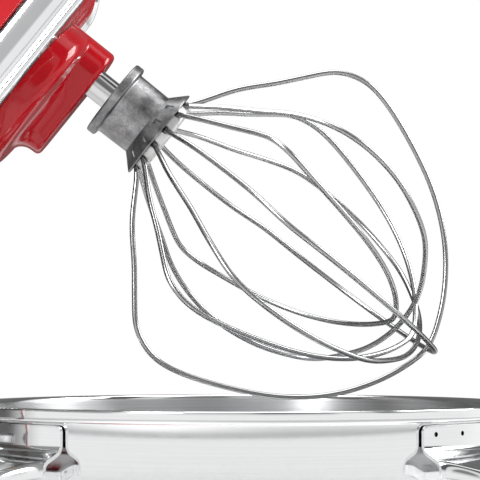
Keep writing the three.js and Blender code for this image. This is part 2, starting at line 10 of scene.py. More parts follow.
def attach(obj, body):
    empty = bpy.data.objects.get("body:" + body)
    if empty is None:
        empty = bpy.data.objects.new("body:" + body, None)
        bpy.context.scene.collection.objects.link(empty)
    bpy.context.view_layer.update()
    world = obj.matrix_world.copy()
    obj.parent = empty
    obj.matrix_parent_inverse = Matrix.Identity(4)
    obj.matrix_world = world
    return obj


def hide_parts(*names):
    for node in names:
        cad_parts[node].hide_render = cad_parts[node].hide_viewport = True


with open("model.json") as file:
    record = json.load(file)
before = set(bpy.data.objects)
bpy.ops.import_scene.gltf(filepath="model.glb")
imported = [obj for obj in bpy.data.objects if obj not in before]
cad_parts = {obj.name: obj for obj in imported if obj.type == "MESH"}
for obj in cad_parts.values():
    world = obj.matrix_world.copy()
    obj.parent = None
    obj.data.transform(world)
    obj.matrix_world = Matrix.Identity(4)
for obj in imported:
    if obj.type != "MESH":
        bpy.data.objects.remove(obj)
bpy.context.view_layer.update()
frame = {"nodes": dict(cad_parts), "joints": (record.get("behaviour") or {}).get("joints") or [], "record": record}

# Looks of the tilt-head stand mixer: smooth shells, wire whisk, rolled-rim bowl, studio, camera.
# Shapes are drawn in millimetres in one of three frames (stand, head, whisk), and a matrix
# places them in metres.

MM = 0.001
SCENE = bpy.context.scene

# ---- what the frame says ------------------------------------------------------------------------
JOINTS = {joint["name"]: joint for joint in frame["joints"]}
BODY_OF = {node: body for body, nodes in frame["record"]["behaviour"]["bodies"].items()
           for node in nodes}
SLOT_OF = {part["node"]: part["material_slot"] for part in frame["record"]["subparts"]}


def joint_point(name):
    return Vector(JOINTS[name]["pos_m"])


# ---- frames, taken from the joints --------------------------------------------------------------
TILT = radians(JOINTS["head_tilt"]["range_deg"][1])
HEAD_UP = Vector(JOINTS["planetary_spin"]["axis"])
SPIN_LEVEL = 20.0 * MM               # height of the spin joints over the planetary's underside
OFFSET = (joint_point("beater_spin") - joint_point("planetary_spin")).length / MM
HINGE_X = joint_point("head_tilt").x / MM - joint_point("bowl_twist").x / MM
HINGE_Z = joint_point("head_tilt").z / MM

STAND = Matrix.Translation((joint_point("bowl_twist").x, 0, 0)) @ Matrix.Scale(MM, 4)
HEAD = (Matrix.Translation(joint_point("planetary_spin") - HEAD_UP * SPIN_LEVEL)
        @ Matrix.Rotation(-TILT, 4, "Y") @ Matrix.Scale(MM, 4))
WHISK = HEAD @ Matrix.Translation((OFFSET, 0, 0))
ALONG_X = Matrix.Rotation(pi / 2, 4, "Y")
ALONG_Y = Matrix.Rotation(-pi / 2, 4, "X")

# ---- driving dimensions, millimetres ------------------------------------------------------------
RIM = 238.0                              # top of the bowl's bead
NOSE, TAIL, HALF = 82.0, -224.0, 54.0    # the head's front end, rear end and half width
UNDERSIDE, SPLIT = 23.8, 41.0            # the head's lower face, and where its two casings meet
HUB_Z = 74.0                             # the nose socket's axis
KNOB = (50.0, 70.0)                      # (x, z) of the clamping knob
DIAL = (-96.0, 64.0)                     # (x, z) of the speed knob
NOSE_LIFT = {"height": 9, "start": 48, "full": 74, "gone_at": 100, "fade": 50}
NECK = {"half": 19, "drop": 18.6, "width": 24, "steps": 32}
PLANET = {"radius": 35.5, "low": 10.0, "high": 23.4, "edge": 4.5, "rise": 0.07, "boss": 14.8,
          "boss_edge": 2.2, "tail": 40.0, "tail_edge": 7.0, "half": 12.0, "fillet": 7.5,
          "nose_fillet": 0.5, "bore_edge": 0.8}
HUB = {"top": 9.2, "flange": 13.5, "body": 29.0, "lip": 36.0, "plug": 40.3}
HUB_R = {"flange": 18.0, "body": 15.0, "lip": 21.4, "plug": 17.8, "bore": 6.9, "pocket": 11.0}
DENT = {"shares": (0.24, 0.3, 0.6, 0.66), "proud": 0.25, "radius": 1.15}
SHAFT_RADIUS = 6.5
WIRE_RADIUS = 1.15
WIRE_SLACK = 0.55                        # gap round a wire in its hole
WIRE_ROOT, WIRE_BURIED = 14.6, 4.4       # radius and depth at which a wire ends in the plug
WIRE_START = 1.2                         # a loop's length counts from here, under the hub's lip
WIRE_RING = 18                           # radius of a wire there
WIRE_TURN = 2.4                          # a loop has its full roll at 1 / this of its length
BOWL_TURN = -4.8                         # degrees that the bowl is turned in its seat
BRUSHED_TOP = 236.2                      # the bowl's inside is brushed up to here
EAR = {"wall": 119.3, "top": 231.6, "corner": 2.6, "fold": 221.4, "fall": 0.46, "lip": 5.4,
       "reach": 19.2, "drawn_in": 9.5, "narrows": 44, "span": 53.6, "sheet": 1.5}
WELDS = {"angles": (-50.5, -42.8, 42.8, 50.5), "height": 228, "radius": 1.0}
COLUMN = {"half": 47, "front": -146, "rear": -212, "power": 3.4, "low": 30.2, "slope": 33,
          "flare": 13.0, "flare_foot": 30, "flare_height": 22, "flare_power": 2.2,
          "ear": 20.6, "ear_half": 46.9, "slot_half": 24.4, "slot_floor": 186}
FEET = [(60, -62), (60, 62), (-195, -62), (-195, 62), (-70, 0)]
LEVER = {"x": -180, "z": 160, "turn": 70}

# ---- settings -----------------------------------------------------------------------------------
MERGE = 1e-6                 # metres under which two vertices are one
CREASE = 40                  # degrees over which an edge is sharp
NOISE_LOW, NOISE_HIGH = 0.3, 0.7     # between these lies most of a noise texture
CAMERA = {"azimuth": 5.34, "pitch": 2.74, "distance": 900.0, "over_rim": 28, "lens": 153.4}
FLOOR = {"radius": 2.4, "level": -0.0004, "sides": 96}
# Each lamp's place, aim, size and power, in metres and watts.
LAMPS = {
    "key": ((-0.95, -1.15, 1.3), (0, 0, 0.35), (0.5, 0.9), 22),
    "fill": ((1.5, 0.1, 1.25), (0, 0, 0.4), (0.7, 1.0), 20),
    "top": ((0.1, 0.3, 1.9), (0, 0, 0.2), (1.4, 1.0), 20),
}

# Loop outlines as (share of the length, share of the half width).
SQUARE = [(0, 0.25), (0.09, 0.49), (0.17, 0.665), (0.23, 0.81), (0.29, 0.94), (0.37, 1),
          (0.45, 0.985), (0.62, 0.86), (0.75, 0.72), (0.86, 0.535), (0.94, 0.32), (0.985, 0.125)]
ROUND = [(0, 0.33), (0.09, 0.465), (0.2, 0.65), (0.3, 0.83), (0.42, 0.97), (0.54, 1),
         (0.67, 0.955), (0.78, 0.85), (0.87, 0.71), (0.94, 0.49), (0.98, 0.3)]
# The six loops: roll at the hub, added roll further out, half width, tip depth, outline, lean.
LOOPS = [
    (-10, -1, 80.2, 187.6, SQUARE, 0),
    (27, 12, 60, 171.2, ROUND, 0),
    (55, 11, 60, 167.6, SQUARE, -4.2),
    (86, 7, 68, 190.4, ROUND, 0),
    (112, 5, 79, 182, ROUND, 0),
    (141, -2, 70.5, 178.6, SQUARE, 0),
]


# ---- plane outlines -----------------------------------------------------------------------------
def smoothstep(value, low, high):
    t = min(1.0, max(0.0, (value - low) / (high - low)))
    return t * t * (3 - 2 * t)


def rounded(points, radius, steps=5, closed=False):
    """The outline with its corners rounded; a point's third number is its own radius."""
    made = []
    n = len(points)
    for i, point in enumerate(points):
        here = Vector(point[:2])
        if not closed and i in (0, n - 1):
            made.append(tuple(here))
            continue
        before, after = Vector(points[i - 1][:2]), Vector(points[(i + 1) % n][:2])
        size = point[2] if len(point) > 2 else radius
        to_before, to_after = before - here, after - here
        reach = min(size, to_before.length * 0.48, to_after.length * 0.48)
        start = here + to_before.normalized() * reach
        end = here + to_after.normalized() * reach
        for k in range(steps + 1):
            t = k / steps
            made.append(tuple(start * (1 - t) ** 2 + here * 2 * t * (1 - t) + end * t ** 2))
    return made


def flowing(points, count):
    """Points of any dimension joined by a centripetal Catmull-Rom curve, evenly spread along it."""
    pts = [np.array(p, float) for p in points]
    pts = [2 * pts[0] - pts[1], *pts, 2 * pts[-1] - pts[-2]]
    dense = []
    for a, b, c, d in zip(pts, pts[1:], pts[2:], pts[3:]):
        t1 = max(np.linalg.norm(b - a), 1e-6) ** 0.5
        t2 = t1 + max(np.linalg.norm(c - b), 1e-6) ** 0.5
        t3 = t2 + max(np.linalg.norm(d - c), 1e-6) ** 0.5
        for t in np.linspace(t1, t2, 24, endpoint=False):
            ab = a + (b - a) * t / t1
            bc = b + (c - b) * (t - t1) / (t2 - t1)
            cd = c + (d - c) * (t - t2) / (t3 - t2)
            abc = ab + (bc - ab) * t / t2
            bcd = bc + (cd - bc) * (t - t1) / (t3 - t1)
            dense.append(abc + (bcd - abc) * (t - t1) / (t2 - t1))
    dense.append(pts[-2])
    dense = np.array(dense)
    run = np.concatenate([[0], np.cumsum(np.linalg.norm(np.diff(dense, axis=0), axis=1))])
    where = np.linspace(0, run[-1], count)
    return np.stack([np.interp(where, run, dense[:, k]) for k in range(dense.shape[1])], axis=1)


def signed_power(value, power):
    return abs(value) ** power * (1 if value > 0 else -1 if value < 0 else 0)


def outline(front, rear, half, z, nose=60, tail=50, power=2.5, count=128):
    """Rounded plan outline from rear to front: superellipse ends joined by straight sides."""
    ring = []
    quarter = count // 2
    for centre, reach, start in ((front - nose, nose, -90), (rear + tail, tail, 90)):
        for i in range(quarter + 1):
            angle = radians(start + 180 * i / quarter)
            ring.append((centre + reach * signed_power(cos(angle), 2 / power),
                         half * signed_power(sin(angle), 2 / power), z))
    return ring


# ---- skins: each returns (vertices, faces) ------------------------------------------------------
def lathe(profile, segments=128, closed=False, swell=None):
    """Turned skin about Z through (radius, height) points; swell(angle, height) scales radii."""
    verts, rows = [], []
    for r, z in profile:
        if r < 1e-6:
            rows.append([len(verts)] * segments)
            verts.append((0, 0, z))
            continue
        rows.append(list(range(len(verts), len(verts) + segments)))
        for i in range(segments):
            angle = 2 * pi * i / segments
            reach = r * (swell(angle, z) if swell else 1)
            verts.append((reach * cos(angle), reach * sin(angle), z))
    faces = []
    for low, high in zip(rows, rows[1:] + ([rows[0]] if closed else [])):
        for i in range(segments):
            j = (i + 1) % segments
            corners = list(dict.fromkeys((low[i], low[j], high[j], high[i])))
            if len(corners) > 2:
                faces.append(corners)
    return verts, faces


def loft(rings, closed=False):
    """Skin through rings of equal point count, with flat fans on the end rings unless closed."""
    n = len(rings[0])
    verts = [point for ring in rings for point in ring]
    faces = []
    for k in range(len(rings) if closed else len(rings) - 1):
        low, high = k * n, (k + 1) % len(rings) * n
        for i in range(n):
            j = (i + 1) % n
            faces.append((low + i, low + j, high + j, high + i))
    if not closed:
        for first, ring in ((0, rings[0]), ((len(rings) - 1) * n, rings[-1])):
            verts.append(tuple(np.mean(np.array(ring), axis=0)))
            faces += [(len(verts) - 1, first + (i + 1) % n, first + i) for i in range(n)]
    return verts, faces


def sweep(path, radius, sides=16):
    """Round bar along a path, with flat ends."""
    path = np.array(path)
    along = np.gradient(path, axis=0)
    along /= np.linalg.norm(along, axis=1)[:, None]
    side = np.cross(along[0], (0.31, 0.9, 0.29))
    rings = []
    for point, direction in zip(path, along):
        side = side - direction * np.dot(side, direction)
        side /= np.linalg.norm(side)
        other = np.cross(direction, side)
        rings.append([tuple(point + radius * (cos(a) * side + sin(a) * other))
                      for a in (2 * pi * i / sides for i in range(sides))])
    return loft(rings)


def surface_net(field, low, high, step):
    """Closed skin where field(x, y, z) is zero, made on a grid and drawn onto the true surface."""
    axes = [np.arange(a, b + step, step) for a, b in zip(low, high)]
    values = field(*np.meshgrid(*axes, indexing="ij"))
    cells = np.array(values.shape) - 1
    total, count, quads = np.zeros((cells.prod(), 3)), np.zeros(cells.prod()), []
    for d in range(3):
        unit = np.eye(3, dtype=int)[d]
        first = values[tuple(slice(0, n - k) for n, k in zip(values.shape, unit))]
        second = values[tuple(slice(k, n) for n, k in zip(values.shape, unit))]
        where = np.argwhere((first < 0) != (second < 0))
        where = where[np.all((where > 0) & (where < cells - 1), axis=1)]
        a, b = first[tuple(where.T)], second[tuple(where.T)]
        point = where + unit * (a / (a - b))[:, None]
        u, v = np.eye(3, dtype=int)[(d + 1) % 3], np.eye(3, dtype=int)[(d + 2) % 3]
        around = [np.ravel_multi_index((where - move).T, cells) for move in (0 * u, u, u + v, v)]
        for cell in around:
            np.add.at(total, cell, point)
            np.add.at(count, cell, 1)
        quad = np.stack(around, axis=1)
        quads.append(np.where((a < 0)[:, None], quad, quad[:, ::-1]))
    used = np.flatnonzero(count)
    number = np.full(len(count), -1)
    number[used] = np.arange(len(used))
    points = total[used] / count[used][:, None] * step + np.array(low)
    for _ in range(3):
        points = onto_surface(field, points, step * 0.2)
    return [tuple(p) for p in points], number[np.concatenate(quads)].tolist()


def onto_surface(field, points, reach):
    """One Newton step of points towards a field's zero; reach is the spacing of its slope."""
    value = field(*points.T)
    slope = np.stack([field(*(points + reach * e).T) - field(*(points - reach * e).T)
                      for e in np.eye(3)], axis=1) / (2 * reach)
    size = np.maximum((slope ** 2).sum(axis=1), 0.05)
    return points - slope * (value / size)[:, None]


def blend_union(a, b, radius):
    """Union of two distance fields with a fillet of about that radius."""
    h = np.clip(0.5 + 0.5 * (b - a) / radius, 0, 1)
    return b * (1 - h) + a * h - radius * h * (1 - h)


def round_meet(a, b, radius):
    """Intersection of two distance fields with a rounded edge."""
    u, v = np.maximum(a + radius, 0), np.maximum(b + radius, 0)
    return np.minimum(np.maximum(a, b), -radius) + np.sqrt(u * u + v * v)


# ---- putting pieces in the scene ----------------------------------------------------------------
def placed(name, data):
    """A new object in the scene."""
    made = bpy.data.objects.new(name, data)
    SCENE.collection.objects.link(made)
    return made


def mesh_of(name, skin, matrix, merge=0.0):
    """A mesh from a skin, its faces turned outwards."""
    verts, faces = skin
    mesh = bpy.data.meshes.new(name)
    mesh.from_pydata([matrix @ Vector(v) for v in verts], [], faces)
    work = bmesh.new()
    work.from_mesh(mesh)
    if merge:
        bmesh.ops.remove_doubles(work, verts=work.verts, dist=merge)
    bmesh.ops.recalc_face_normals(work, faces=work.faces)
    work.to_mesh(mesh)
    work.free()
    return mesh


def piece(name, skin, matrix, material, node, sharp=CREASE):
    """A mesh piece that stands for one CAD node, rides on its body and takes the given material."""
    mesh = mesh_of(name, skin, matrix, MERGE)
    mesh.shade_smooth()
    mesh.set_sharp_from_angle(angle=radians(sharp))
    mesh.materials.append(material)
    made = placed(name, mesh)
    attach(made, BODY_OF[node])
    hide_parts(node)
    # Of the red pieces only the base shows in mirror images, where the photograph has hardly
    # any red.
    made.visible_glossy = SLOT_OF[node] != "red_enamel" or node == "base_casting"
    return made


def cut_holes(target, skins, matrix):
    """Cuts solids out of a piece and keeps the result as its mesh."""
    cutter = placed("cutter", mesh_of("cutter", joined(*skins), matrix))
    modifier = target.modifiers.new("cut", "BOOLEAN")
    modifier.operation = "DIFFERENCE"
    modifier.solver = "EXACT"
    modifier.object = cutter
    settle(target)
    bpy.data.objects.remove(cutter)


def settle(target):
    """Keeps the result of a piece's modifiers as its mesh."""
    graph = bpy.context.evaluated_depsgraph_get()
    result = bpy.data.meshes.new_from_object(target.evaluated_get(graph))
    target.modifiers.clear()
    result.set_sharp_from_angle(angle=radians(CREASE))
    target.data = result


# ---- materials ----------------------------------------------------------------------------------
class Nodes:
    """Small helper that adds shader nodes and joins them."""

    def __init__(self, name):
        self.material = bpy.data.materials.new(name)
        self.material.use_nodes = True
        self.tree = self.material.node_tree
        self.shader = self.tree.nodes["Principled BSDF"]

    def add(self, kind, settings=None, **inputs):
        made = self.tree.nodes.new(kind)
        for key, value in (settings or {}).items():
            setattr(made, key, value)
        for key, value in inputs.items():
            self.feed(made.inputs[key.replace("_", " ")], value)
        return made

    def feed(self, socket, value):
        """Gives a socket a link or a constant."""
        if isinstance(value, bpy.types.NodeSocket):
            self.tree.links.new(value, socket)
        else:
            socket.default_value = value

    def maths(self, operation, *values):
        made = self.add("ShaderNodeMath", {"operation": operation})
        for socket, value in zip(made.inputs, values):
            self.feed(socket, value)
        return made.outputs[0]

    def place(self, scale=(1, 1, 1), rotation=(0, 0, 0)):
        """Object coordinates in millimetres, stretched by scale and turned."""
        coordinates = self.add("ShaderNodeTexCoord").outputs["Object"]
        size = tuple(s / MM for s in scale)
        return self.add("ShaderNodeMapping", Vector=coordinates, Scale=size,
                        Rotation=rotation).outputs[0]

    def noise(self, scale, detail=4.0, roughness=0.5, place=None):
        return self.add("ShaderNodeTexNoise", Vector=place or self.place(), Scale=scale,
                        Detail=detail, Roughness=roughness).outputs["Fac"]

    def ramp(self, value, stops):
        made = self.add("ShaderNodeValToRGB", Fac=value)
        elements = made.color_ramp.elements
        while len(elements) < len(stops):
            elements.new(0.5)
        for element, (position, colour) in zip(elements, stops):
            element.position = position
            element.color = (*(colour if isinstance(colour, tuple) else [colour] * 3), 1)
        return made.outputs["Color"]

    def range(self, value, low, high):
        """Spreads a noise over low..high."""
        return self.add("ShaderNodeMapRange", {"clamp": True}, Value=value, From_Min=NOISE_LOW,
                        From_Max=NOISE_HIGH, To_Min=low, To_Max=high).outputs[0]

    def bump(self, height, strength, distance):
        made = self.add("ShaderNodeBump", Height=height, Strength=strength, Distance=distance * MM)
        self.join(made.outputs[0], "Normal")

    def join(self, output, name):
        self.tree.links.new(output, self.shader.inputs[name])

    def set(self, **inputs):
        for key, value in inputs.items():
            self.shader.inputs[key.replace("_", " ")].default_value = value


def enamel():
    """High-gloss red enamel: even colour with slow drift, faint orange peel under a clear gloss."""
    n = Nodes("red_enamel")
    drift = n.noise(0.02, 3)
    n.join(n.ramp(drift, [(0.35, (0.50, 0.0035, 0.010)), (0.65, (0.60, 0.0055, 0.016))]),
           "Base Color")
    n.join(n.range(n.noise(0.4, 5), 0.20, 0.27), "Roughness")
    n.set(Coat_Roughness=0.015, Coat_IOR=1.45, Specular_IOR_Level=0.05)
    facing = n.add("ShaderNodeLayerWeight", Blend=0.5).outputs["Facing"]
    n.join(n.ramp(facing, [(0.72, 1.0), (0.9, 0.12)]), "Coat Weight")
    n.bump(n.noise(0.35, 2), 0.05, 0.05)
    return n.material


def chrome():
    """Polished plated trim with the slightest waviness and handling marks."""
    n = Nodes("chrome_trim")
    n.join(n.ramp(n.noise(0.03, 4), [(0.3, (0.86, 0.87, 0.88)), (0.7, (0.92, 0.925, 0.93))]),
           "Base Color")
    n.join(n.range(n.noise(0.6, 6, 0.7), 0.035, 0.08), "Roughness")
    n.set(Metallic=1.0)
    n.bump(n.noise(0.03, 1), 0.02, 0.2)
    return n.material


def polished_bowl():
    """Mirror-polished outside of the bowl and its sheet ears, with faint long polishing lines."""
    n = Nodes("bowl_polished")
    lines = n.noise(1.0, 4, 0.6, n.place((0.012, 0.012, 1.6)))
    n.join(n.ramp(lines, [(0.3, (0.88, 0.885, 0.89)), (0.7, (0.92, 0.925, 0.93))]), "Base Color")
    n.join(n.range(n.noise(0.5, 6, 0.7), 0.05, 0.1), "Roughness")
    n.set(Metallic=1.0)
    n.bump(lines, 0.02, 0.02)
    return n.material


def brushed_bowl():
    """Inside of the bowl: fine brushing that runs round the wall."""
    n = Nodes("bowl_brushed")
    fine = n.noise(1.0, 5, 0.65, n.place((0.015, 0.015, 3.5)))
    broad = n.noise(1.0, 3, 0.5, n.place((0.01, 0.01, 0.5)))
    n.join(n.ramp(fine, [(0.3, (0.60, 0.605, 0.61)), (0.7, (0.80, 0.805, 0.81))]), "Base Color")
    n.join(n.range(broad, 0.26, 0.36), "Roughness")
    n.set(Metallic=1.0, Anisotropic=0.9, Anisotropic_Rotation=0.25)
    round_z = n.add("ShaderNodeTangent", {"direction_type": "RADIAL", "axis": "Z"})
    n.join(round_z.outputs[0], "Tangent")
    n.bump(fine, 0.25, 0.03)
    return n.material


def drawn_steel(name="bright_steel", low=0.36, high=0.46, gloss=0.16):
    """Bright drawn wire and ground bar: light colour change, fine grain."""
    n = Nodes(name)
    grain = n.noise(2.2, 5, 0.7)
    n.join(n.ramp(grain, [(0.3, (low, low, low * 1.01)), (0.7, (high, high, high * 1.01))]),
           "Base Color")
    n.join(n.range(n.noise(0.3, 4), gloss, gloss + 0.08), "Roughness")
    n.set(Metallic=1.0)
    n.bump(grain, 0.03, 0.02)
    return n.material


def cast_alloy():
    """Sand-cast hub: mottled dark and light patches with a fine grain."""
    n = Nodes("cast_alloy")
    patches = n.noise(0.11, 5, 0.62)
    grain = n.noise(1.6, 6, 0.75)
    mixed = n.add("ShaderNodeMix", {"data_type": "FLOAT"}, Factor=0.35, A=patches, B=grain)
    mixed = mixed.outputs[0]
    n.join(n.ramp(mixed, [(0.36, (0.11, 0.11, 0.112)), (0.5, (0.26, 0.26, 0.264)),
                          (0.64, (0.50, 0.50, 0.505))]), "Base Color")
    n.join(n.range(patches, 0.3, 0.46), "Roughness")
    n.set(Metallic=1.0)
    n.bump(grain, 0.35, 0.08)
    return n.material


def light_alloy():
    """Very light satin plug face with faint turning marks."""
    n = Nodes("light_alloy")
    grain = n.noise(1.2, 5, 0.6)
    n.join(n.ramp(grain, [(0.3, (0.82, 0.82, 0.81)), (0.7, (0.92, 0.92, 0.91))]), "Base Color")
    n.join(n.range(grain, 0.34, 0.46), "Roughness")
    n.set(Metallic=0.55)
    n.bump(grain, 0.12, 0.03)
    return n.material


def gear_steel():
    """Machined and oiled steel: fine tool marks and a brownish oil film in patches."""
    n = Nodes("gear_steel")
    marks = n.noise(1.0, 4, 0.6, n.place((0.2, 0.2, 3.0)))
    film = n.noise(0.06, 3)
    n.join(n.ramp(film, [(0.35, (0.36, 0.35, 0.33)), (0.65, (0.52, 0.52, 0.53))]), "Base Color")
    n.join(n.range(marks, 0.22, 0.4), "Roughness")
    n.set(Metallic=1.0)
    n.bump(marks, 0.2, 0.03)
    return n.material


def moulded(name, colour, roughness, grain_scale, strength):
    """Moulded plastic or rubber: fine texture and small changes of shade."""
    n = Nodes(name)
    shade = n.noise(0.08, 3)
    lighter = tuple(min(1.0, c * 1.45 + 0.006) for c in colour)
    n.join(n.ramp(shade, [(0.35, colour), (0.65, lighter)]), "Base Color")
    grain = n.noise(grain_scale, 4, 0.7)
    n.join(n.range(grain, roughness - 0.07, roughness + 0.07), "Roughness")
    n.bump(grain, strength, 0.08)
    return n.material


def laminated_iron():
    """Varnished sheet stack: fine even lines across the motor's length."""
    n = Nodes("motor_iron")
    sheets = n.add("ShaderNodeTexWave", {"bands_direction": "X"}, Scale=0.6, Distortion=0.3,
                   Vector=n.place(rotation=(0, TILT, 0))).outputs["Fac"]
    n.join(n.ramp(sheets, [(0.3, (0.09, 0.085, 0.08)), (0.7, (0.24, 0.225, 0.21))]), "Base Color")
    n.join(n.range(n.noise(0.5), 0.35, 0.5), "Roughness")
    n.set(Metallic=0.8)
    n.bump(sheets, 0.3, 0.1)
    return n.material


def bronze():
    """Machined bronze gear with a dull film between bright marks."""
    n = Nodes("gear_bronze")
    film = n.noise(0.1, 4)
    n.join(n.ramp(film, [(0.35, (0.42, 0.27, 0.10)), (0.65, (0.66, 0.48, 0.2))]), "Base Color")
    n.join(n.range(n.noise(1.4, 5), 0.22, 0.4), "Roughness")
    n.set(Metallic=1.0)
    n.bump(n.noise(1.4, 5), 0.15, 0.03)
    return n.material


FINISH = {
    "red_enamel": enamel(),
    "chrome_trim": chrome(),
    "bowl_steel": polished_bowl(),
    "bright_steel": drawn_steel(),
    "gear_steel": gear_steel(),
    "cast_alloy": cast_alloy(),
    "light_alloy": light_alloy(),
    "rubber_feet": moulded("rubber_feet", (0.018, 0.018, 0.018), 0.75, 1.2, 0.3),
    "black_plastic": moulded("black_plastic", (0.012, 0.012, 0.013), 0.42, 2.0, 0.15),
    "motor_iron": laminated_iron(),
    "carbon": moulded("carbon", (0.02, 0.02, 0.021), 0.6, 1.5, 0.2),
    "gear_bronze": bronze(),
}
BRUSHED = brushed_bowl()
# A darker copy of the drawn steel, used as painted shade on the undersides of the bowl's ears.
UNDERSIDE_SHADE_STEEL = drawn_steel("painted_shade_steel", 0.2, 0.28)
GROUND = drawn_steel("ground_steel", 0.55, 0.66, 0.06)


class WorldNodes(Nodes):
    """The same helper on the world's tree."""

    def __init__(self, world):
        self.tree = world.node_tree

    def mix(self, share, below, above):
        return self.add("ShaderNodeMix", {"data_type": "RGBA"}, Factor=share, A=below,
                        B=(*above, 1)).outputs["Result"]


# ---- head shells --------------------------------------------------------------------------------
def raise_nose(ring):
    """The lower edge of the head sweeps up over the nose, fading out towards the top."""
    lifted = []
    for x, y, z in ring:
        fade = min(1.0, max(0.0, (NOSE_LIFT["gone_at"] - z) / NOSE_LIFT["fade"]))
        lift = NOSE_LIFT["height"] * smoothstep(x, NOSE_LIFT["start"], NOSE_LIFT["full"])
        lifted.append((x, y, z + lift * fade))
    return lifted


def head_ring(z, inset, lean=0.0):
    """The head's plan at one level; a lean draws its two ends in."""
    return raise_nose(outline(NOSE - inset - lean, TAIL + inset + lean * 1.6, HALF - inset, z,
                              nose=44, tail=48, power=2.6, count=160))


def upper_casing():
    """Outer skin of the bullet-shaped motor casing, open below and closed by an inner skin."""
    outer = flowing([(SPLIT + 1, 0.4, 0), (50, 0.1, 0), (62, 0, 0.3), (78, 1.2, 2), (94, 5, 6),
                     (106, 12, 12), (113.5, 22, 20), (117.4, 36, 31), (118.6, 50, 43)], 44)
    inner = [(z - 3.4, inset + 3.6, lean) for z, inset, lean in outer[::-4]]
    edge = [(SPLIT + 0.4, 3.4, 0), (SPLIT + 0.4, 1.0, 0)]
    levels = [*inner, *edge, *outer]
    return loft([head_ring(*level) for level in levels])


def lower_casing():
    """The shallow pan under the head. Its floor is closed; the planetary turns just below it."""
    levels = [(SPLIT, 9), (SPLIT, 3.5), (UNDERSIDE + 3, 3.5), (UNDERSIDE + 1.2, 3.9),
              (UNDERSIDE + 0.3, 5), (UNDERSIDE, 7), (UNDERSIDE, 14), (UNDERSIDE, 30),
              (UNDERSIDE, 50)]
    return loft([head_ring(*level) for level in levels])


def trim_band():
    """Convex plated band with a groove and a rolled lip along its lower edge."""
    section = [(40.6, 1.6), (40.6, 0.1), (39.9, -0.9), (36.5, -1.9), (32, -2.4), (28.6, -2.1),
               (27.0, -1.3), (26.3, -1.3), (25.7, -2.4), (24.6, -3.3), (23.3, -3.4), (22.3, -2.8),
               (22, -1.6), (22, 1.6)]
    rings = [head_ring(z, inset) for z, inset in rounded(section, 0.8, 3, closed=True)]
    return loft(rings, closed=True)


def neck_block():
    """Hinge block under the rear of the head, round about the pin."""
    pin = HEAD.inverted() @ joint_point("head_tilt")
    half, steps = NECK["half"], NECK["steps"]
    profile = []
    for k in range(steps + 1):
        angle = radians(200 + 140 * k / steps)
        profile.append((pin.x + half * cos(angle), pin.z + NECK["drop"] * sin(angle)))
    profile += [(pin.x + half, UNDERSIDE + 4), (pin.x - half, UNDERSIDE + 4)]
    return slab(rounded(profile, 1, 3, True), -NECK["width"], NECK["width"])


def slab(profile, y0, y1, edge=1.5):
    """Plate with an (x, z) outline between two y planes, its rims rounded."""
    centre = Vector(np.mean(np.array(profile), axis=0))
    rings = []
    for y, inset in ((y0, edge), (y0 + edge * 0.3, edge * 0.3), (y0 + edge, 0), (y1 - edge, 0),
                     (y1 - edge * 0.3, edge * 0.3), (y1, edge)):
        ring = []
        for point in profile:
            away = Vector(point) - centre
            moved = centre + away * (1 - inset / away.length)
            ring.append((moved.x, y, moved.y))
        rings.append(ring)
    return loft(rings)


def joined(*skins):
    """Several skins as one."""
    verts, faces = [], []
    for some, parts in skins:
        first = len(verts)
        verts += some
        faces += [[first + i for i in face] for face in parts]
    return verts, faces


# ---- nose socket and knobs ----------------------------------------------------------------------
def hub_socket():
    section = [(16, 60), (20, 60), (20, 84), (19.2, 85.4), (16.4, 85.4), (16, 84.6)]
    return lathe(rounded(section, 0.7, 4, True), 128, closed=True)


def hub_cap():
    face = rounded([(0, 92.2), (8, 92.0), (9, 91.4, 0.4), (10, 91.9, 0.4), (15, 91.5), (18.6, 90),
                    (20.5, 88.4), (20.5, 86.6), (18, 85.8), (0, 85.8)], 1.0, 5)
    knuckle = slab([(-24.6, 85.9), (-17.5, 85.9), (-17.5, 90.4), (-24.6, 90.4)], -7, 7, 0.8)
    return joined(lathe(face, 128), knuckle)


def stem(low, high):
    """Spindle that carries a knob or lever."""
    return lathe([(0, low), (4, low), (4, high), (0, high)], 32)


def laid_down(plate):
    """A slab turned so that its thickness lies along Z."""
    return [(x, z, depth) for x, depth, z in plate[0]], plate[1]


def hub_knob():
    """Fluted grip with a domed face."""
    def flute(angle, height):
        depth = 0.055 * smoothstep(height, HALF + 3.2, HALF + 5)
        return 1 - depth * (0.5 - 0.5 * cos(12 * angle)) ** 2

    profile = rounded([(0, HALF + 2.6), (9.6, HALF + 2.6), (11, HALF + 4), (11, HALF + 13.6),
                       (9.6, HALF + 15), (0, HALF + 15)], 1.4, 6)
    return joined(lathe(profile, 192, swell=flute), stem(46, HALF + 3))


def speed_knob():
    y = HALF + 2
    section = [(0, y), (12, y), (12, y + 7.8), (10.8, y + 9.2), (0, y + 9.2)]
    body = lathe(rounded(section, 1.2, 6), 96)
    pointer = rounded([(-2.4, -3), (2.4, -3), (2.0, 16), (-2.0, 16)], 1.6, 6, True)
    return joined(body, laid_down(slab(pointer, y + 3, y + 11, 0.9)), stem(40, y + 1))


def speed_plate():
    section = [(4.6, HALF + 0.3), (17, HALF + 0.3), (17, HALF + 1.2), (16.2, HALF + 1.7),
               (4.6, HALF + 1.7)]
    return lathe(rounded(section, 0.4, 3, True), 96, closed=True)


